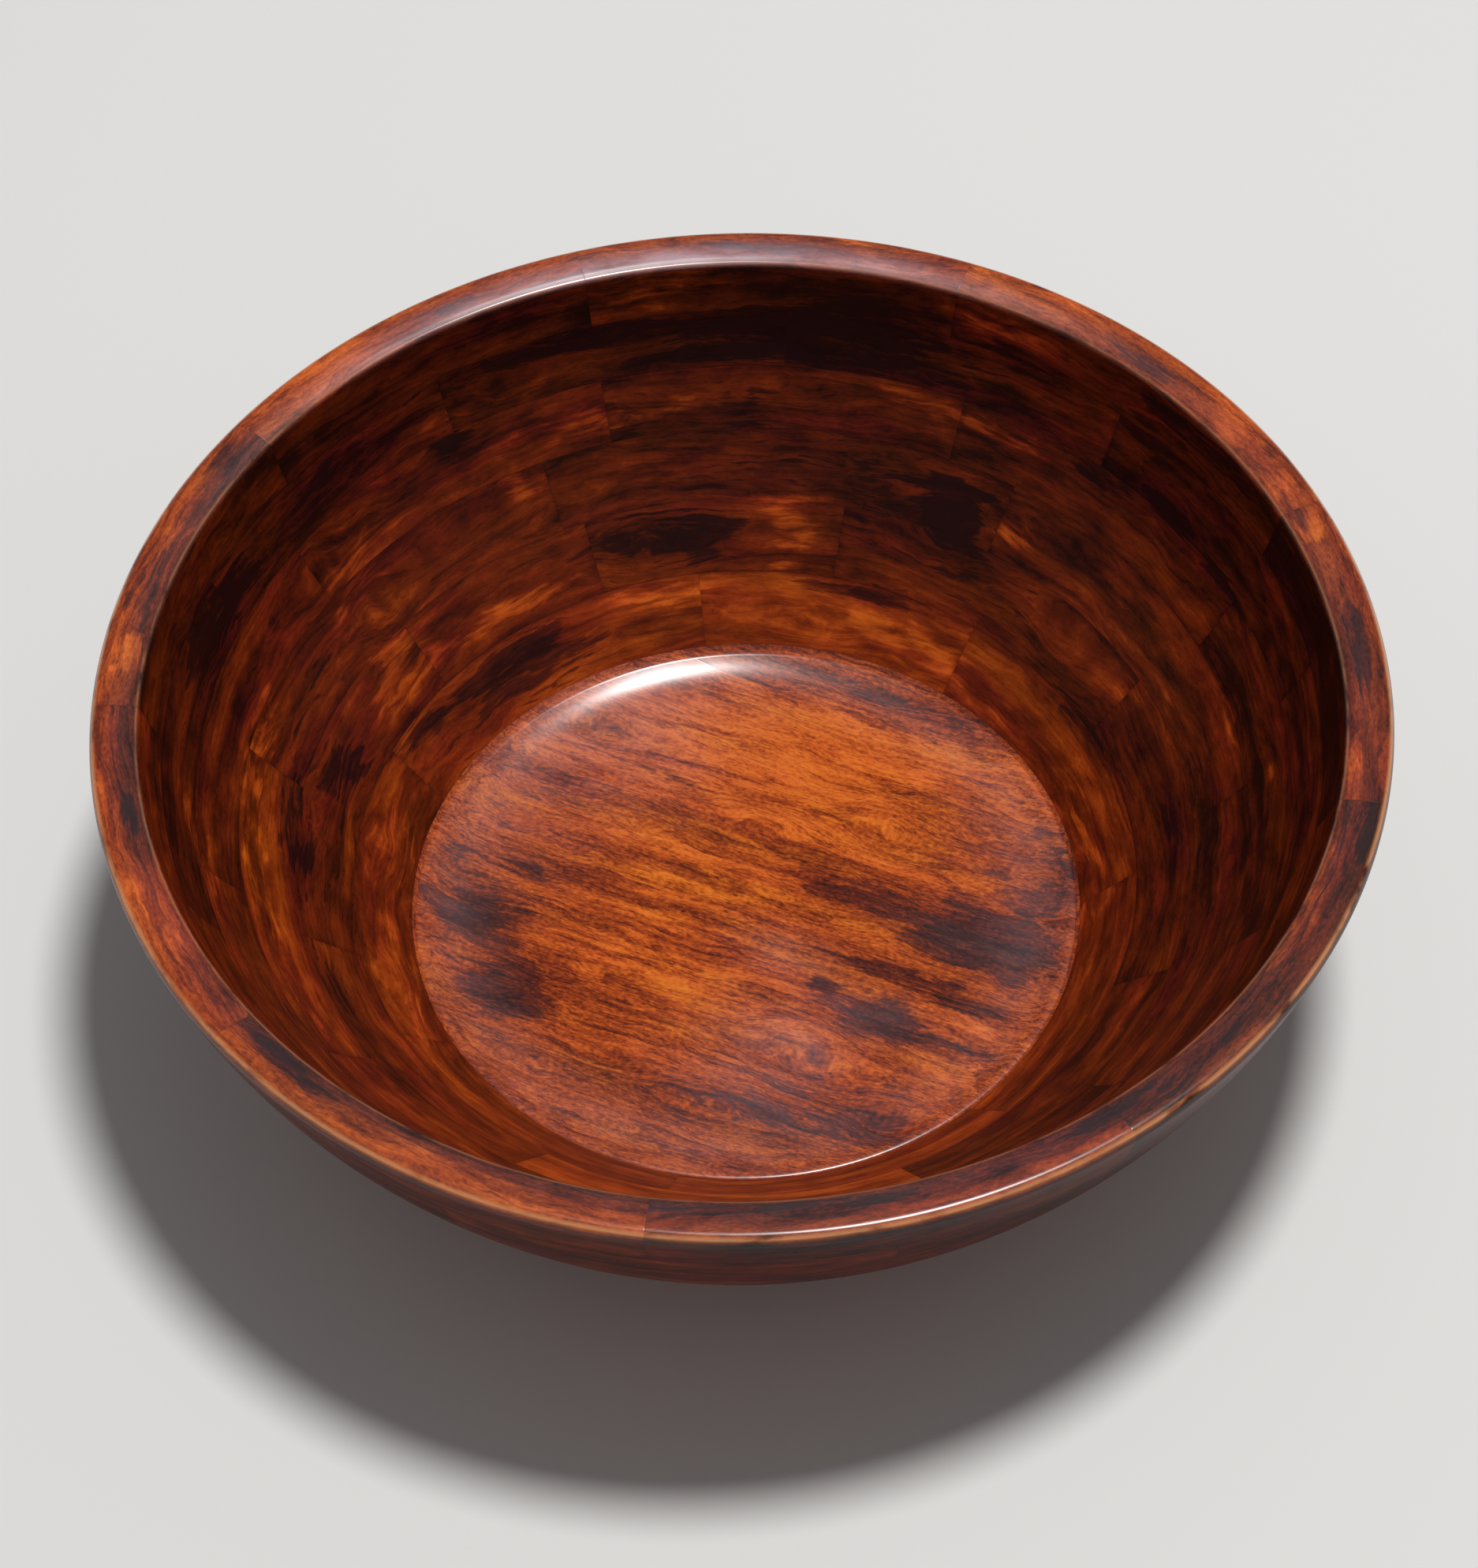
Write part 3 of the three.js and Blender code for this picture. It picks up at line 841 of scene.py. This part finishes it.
def stained_wood():
    """Lightness is a weighted sum of the patterns; a ramp turns it into stain, and masks mix in the rest."""
    material = bpy.data.materials.new("stained_wood")
    material.use_nodes = True
    tree = material.node_tree
    tree.nodes.clear()
    start = Socket(tree)

    # Place in the board, swayed a little
    straight = start.attribute("board", "Vector")
    tone, figure, seam, worn, bloom, lacquer, contrast = (
        start.attribute(name)
        for name in ("tone", "figure", "seam", "worn", "bloom", "lacquer", "contrast"))
    sway = straight.stretched(36, 14).noise(2.0, 0.5, 1)
    ripple = straight.stretched(13, 6).noise(1.0, 0.5, 1)
    board = sway.vector("MULTIPLY_ADD", (0, 9, 9), straight)
    board = ripple.vector("MULTIPLY_ADD", (0, 1.4, 1.4), board)

    # Patterns, each by its length along the grain and its width across
    bands = board.stretched(120, 9).noise(2.0)
    mottle = board.stretched(19, 7).noise(3.0, 0.55)
    streaks = board.stretched(52, 2.1).noise(3.0, 0.6)
    lines = board.stretched(34, 1.2).noise(2.0, 0.5).ramped(0.53, 0.66)
    fibres = board.stretched(6, 0.45).noise(2.0, 0.6)
    flecks = board.stretched(2.0, 0.9).noise(1.0, 0.5)
    pores = board.stretched(4.5, 0.45).noise(1.0, 0.5).ramped(0.60, 0.70)
    tint = straight.stretched(70, 13).noise(2.0)
    from_pith = board.vector("MULTIPLY", (0, 1, 1)).vector("LENGTH", output=1)
    rings = from_pith * (1 / ring_width) + bands * 2.5
    fraction = rings.maths("FRACT", rings)
    late_wood = fraction.ramped(0.35, 0.93) * fraction.ramped(1.0, 0.95)

    # How light the wood is
    outline = (mottle - 0.5) * 1.9 + (streaks - 0.5) * 1.7
    heartwood = (outline - figure).ramped(0.34, 0.78)
    sapwood = (outline + figure).ramped(0.30, 0.95)
    fine = ((streaks - 0.5) * 0.65 + (fibres - 0.5) * 0.35 + (flecks - 0.5) * contrast * 0.9
            - lines * 0.18 - late_wood * 0.18 - pores * 0.22)
    light = (tone + (bands - 0.5) * (0.9 - contrast * 0.33) + (mottle - 0.5) * (0.84 - contrast * 0.30)
             + fine * contrast + figure * 0.07 + sapwood * (0.30 - tone * 0.2) - heartwood * 0.36
             - seam * mottle * 0.2)

    # Stain, its tints, and what lies over it
    stain = light.node("ValToRGB", {"stops": [
        (0.0, (0.012, 0.0028, 0.0020)),
        (0.12, (0.026, 0.0043, 0.0023)),
        (0.26, (0.078, 0.0098, 0.0026)),
        (0.40, (0.155, 0.0190, 0.0032)),
        (0.54, (0.285, 0.0400, 0.0045)),
        (0.68, (0.450, 0.0740, 0.0070)),
        (0.80, (0.610, 0.1150, 0.0110)),
        (1.0, (0.760, 0.1750, 0.0200)),
    ]}, {0: light * 0.78 + 0.02})
    color = mixed(tint.ramped(0.50, 0.66) * (1.0 - tone), stain, (1.0, 0.66, 1.7), "MULTIPLY")
    color = mixed(tint.ramped(0.48, 0.34) * 0.55, color, (1.0, 1.22, 0.7), "MULTIPLY")
    color = mixed(heartwood * 0.3, color, (0.030, 0.0058, 0.0062))
    # Painted sheen, partly milky lacquer: a lilac grey mixed into the colour
    color = mixed(bloom * mottle * 0.17, color, (0.50, 0.42, 0.50))
    # Pale edges: worn stain at the foot, and worn stain with a painted highlight along the rim's edges
    color = mixed(worn * mottle.ramped(0.25, 0.52) * 0.9, color, (0.74, 0.32, 0.14))

    # Open grain under the lacquer
    relief = (streaks - 0.5) * 0.03 + (fibres - 0.5) * 0.03 - pores * 0.10
    bump = start.node("Bump", {}, {"Strength": 0.5, "Distance": 0.0005, "Height": relief})
    shader = start.node("BsdfPrincipled", {}, {
        "Base Color": color, "Roughness": 0.36 + (mottle - 0.5) * 0.1, "Normal": bump,
        "Specular IOR Level": 0.06, "Coat Weight": lacquer, "Coat Roughness": 0.24, "Coat IOR": 1.5,
    })
    output = tree.nodes.new("ShaderNodeOutputMaterial")
    tree.links.new(shader.output, output.inputs["Surface"])
    return material


wood = stained_wood()
for piece in pieces.values():
    piece.data.materials.append(wood)
print("wood:", len(wood.node_tree.nodes), "nodes")

# %% [markdown]
# ## Floor, lamps and camera
#
# The bowl stands on a plain pale floor. One round lamp hangs nearly overhead, wide enough to light the
# bowl softly, and the whole surroundings add a weak even light. The camera looks down into the bowl.

# %% Floor
def make_floor():
    """A level square, 12 m wide, that only the picture needs."""
    half = 6.0
    mesh = bpy.data.meshes.new("floor")
    corners = [(-half, -half, 0), (half, -half, 0), (half, half, 0), (-half, half, 0)]
    mesh.from_pydata(corners, [], [(0, 1, 2, 3)])
    floor = bpy.data.objects.new("floor", mesh)
    bpy.context.scene.collection.objects.link(floor)
    material = bpy.data.materials.new("pale_floor")
    material.use_nodes = True
    shader = material.node_tree.nodes["Principled BSDF"]
    shader.inputs["Base Color"].default_value = (0.78, 0.77, 0.75, 1)
    shader.inputs["Roughness"].default_value = 0.9
    mesh.materials.append(material)


make_floor()

# %% Lamps
lamp_direction = Vector((0.105, 0.118, 1.0)).normalized()
lamp_aim = Vector((0, 0, 0.07))


def make_lamp(name, direction, distance, size, watts):
    """A round lamp that faces the bowl from a direction."""
    data = bpy.data.lights.new(name, "AREA")
    data.shape, data.size, data.energy = "DISK", size, watts
    lamp = bpy.data.objects.new(name, data)
    lamp.location = direction * distance + lamp_aim
    lamp.rotation_mode = "QUATERNION"
    lamp.rotation_quaternion = direction.to_track_quat("Z", "Y")
    bpy.context.scene.collection.objects.link(lamp)


make_lamp("overhead", lamp_direction, 4.0, 0.70, 128)
world = bpy.data.worlds.new("studio")
world.use_nodes = True
background = world.node_tree.nodes["Background"]
background.inputs["Color"].default_value = (0.96, 0.98, 1.0, 1)
background.inputs["Strength"].default_value = 0.2
bpy.context.scene.world = world
bpy.context.scene.view_settings.view_transform = "Standard"

# %% Camera
view_turn = math.radians(24)
view_elevation = math.radians(51.68)
view_roll = math.radians(-1.4853)
view_distance = 1.4538
focal_length_pixels = 5500
picture_height_pixels = 1988
turned = Matrix.Rotation(view_turn, 3, "Z")
aim = turned @ Vector((-0.00135, -0.04158, bowl_height * MM))
forward = Vector((0, math.cos(view_elevation), -math.sin(view_elevation)))
right = Vector((1, 0, 0))
up = right.cross(forward)
rolled_right = right * math.cos(view_roll) + up * math.sin(view_roll)
rolled_up = up * math.cos(view_roll) - right * math.sin(view_roll)
axes = Matrix((rolled_right, rolled_up, -forward)).transposed()

camera_data = bpy.data.cameras.new("camera")
camera_data.sensor_width = 36
camera_data.lens = camera_data.sensor_width * focal_length_pixels / picture_height_pixels
camera = bpy.data.objects.new("camera", camera_data)
camera.matrix_world = Matrix.Translation(aim - turned @ forward * view_distance) @ (turned @ axes).to_4x4()
bpy.context.scene.collection.objects.link(camera)
bpy.context.scene.camera = camera
